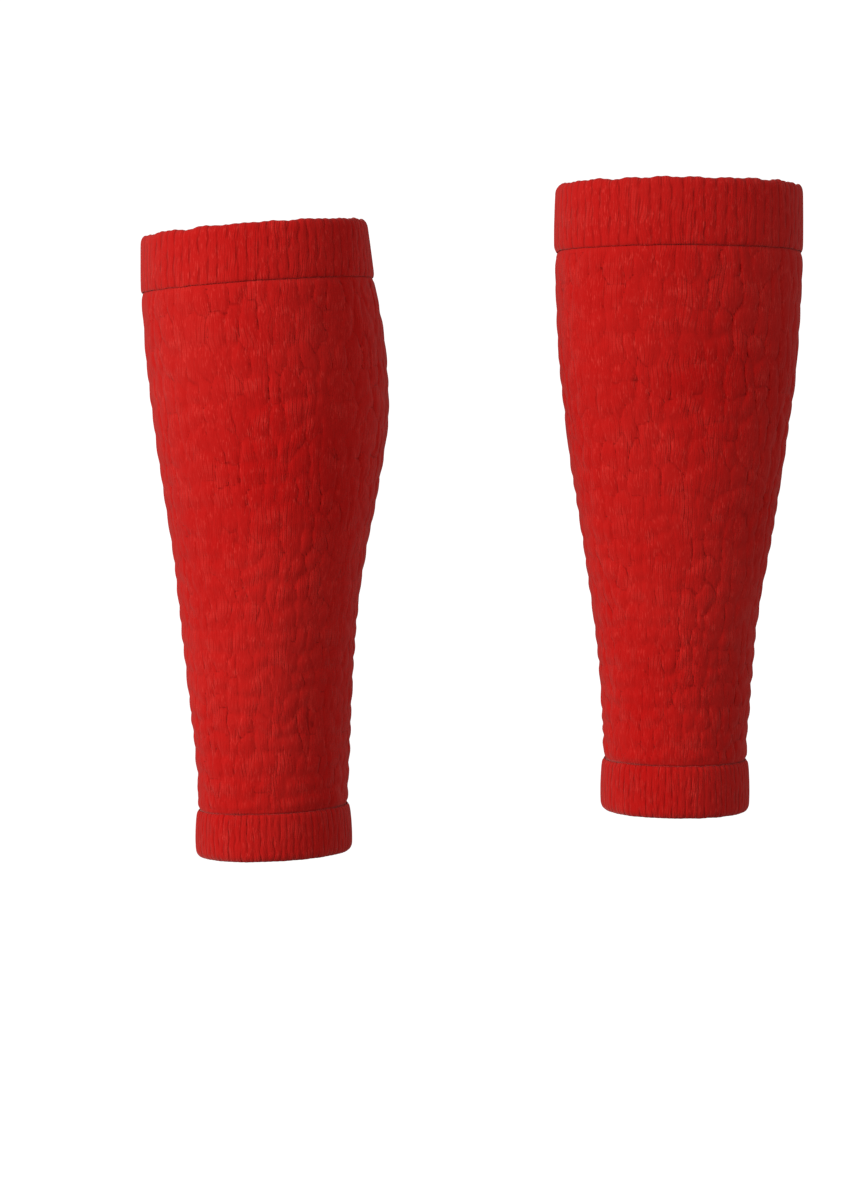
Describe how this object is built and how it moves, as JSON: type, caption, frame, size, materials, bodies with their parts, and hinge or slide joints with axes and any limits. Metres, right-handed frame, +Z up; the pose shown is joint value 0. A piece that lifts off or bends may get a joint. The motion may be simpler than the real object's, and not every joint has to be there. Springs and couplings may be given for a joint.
{
  "type": "pair of leg warmers",
  "caption": "Pair of puffed-knit leg warmers with ribbed top and ankle cuffs, hollow and filled out as worn from below the knee to above the ankle.",
  "frame": {"origin": "midway between the centres of the two top openings, at the height where the legs hold the pair up", "axes": "+Z up, +X across the pair towards the wearer's left, +Y towards the calf of the left warmer, whose toes point to -Y"},
  "size_m": [0.2851, 0.1136, 0.2913],
  "materials": {
    "puffed_knit": "matte red knit of stretchy yarn, puffed between its stitches",
    "rib_knit": "matte red one-by-one rib, folded double, with a faint fuzz"
  },
  "bodies": {
    "root": {"right_top_cuff": "rib_knit", "right_leg_tube": "puffed_knit", "right_ankle_cuff": "rib_knit", "left_top_cuff": "rib_knit", "left_leg_tube": "puffed_knit", "left_ankle_cuff": "rib_knit"}
  },
  "joints": []
}
